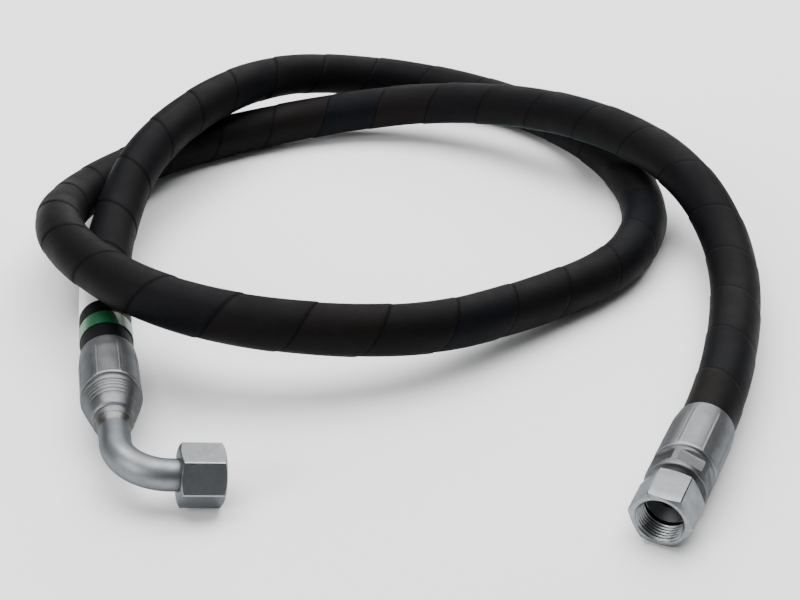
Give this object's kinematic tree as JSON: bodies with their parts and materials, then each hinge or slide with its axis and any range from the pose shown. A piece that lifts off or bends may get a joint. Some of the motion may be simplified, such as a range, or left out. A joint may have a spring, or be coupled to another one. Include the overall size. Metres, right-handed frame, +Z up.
{
  "type": "hydraulic hose assembly",
  "caption": "Flexible rubber hydraulic hose in loose coils, crimped to a bent-tube swivel fitting at one end and a straight swivel fitting at the other.",
  "frame": {"origin": "on the floor, under the middle of the box round the two end fittings", "axes": "+X from the elbow fitting towards the straight fitting, +Y from the fittings towards the coils, +Z up"},
  "size_m": [0.3438, 0.4069, 0.0518],
  "materials": {
    "cover_rubber": "matte, wrapped",
    "liner_rubber": "smooth",
    "braid_wire": "brass-coated wire braid",
    "green_tape": "gloss",
    "white_label": "satin",
    "zinc_plated_steel": "bright zinc plate",
    "zinc_plated_nut": "bright zinc plate",
    "braze_metal": "satin",
    "spring_wire": "drawn wire"
  },
  "bodies": {
    "hose": {"hose_inner_tube": "liner_rubber", "inner_wire_braid": "braid_wire", "braid_insulation": "liner_rubber", "outer_wire_braid": "braid_wire", "hose_cover": "cover_rubber", "green_band": "green_tape", "identification_label": "white_label", "elbow_ferrule": "zinc_plated_steel", "elbow_nipple": "zinc_plated_steel", "elbow_braze_ring": "braze_metal", "elbow_tube": "zinc_plated_steel", "straight_ferrule": "zinc_plated_steel", "straight_stem": "zinc_plated_steel", "straight_thrust_wire": "spring_wire"},
    "elbow_nut": {"elbow_swivel_nut": "zinc_plated_nut"},
    "straight_nut": {"straight_swivel_nut": "zinc_plated_nut"}
  },
  "joints": [
    {"name": "elbow_nut_spin", "type": "hinge", "parent": "hose", "child": "elbow_nut", "pos_m": [-0.0668, -0.02114, 0.01127], "axis": [0.9615, 0.2082, -0.1795], "continuous": true},
    {"name": "straight_nut_spin", "type": "hinge", "parent": "hose", "child": "straight_nut", "pos_m": [0.09722, -0.04957, 0.01259], "axis": [-0.4305, -0.9025, -0.0098], "continuous": true}
  ]
}
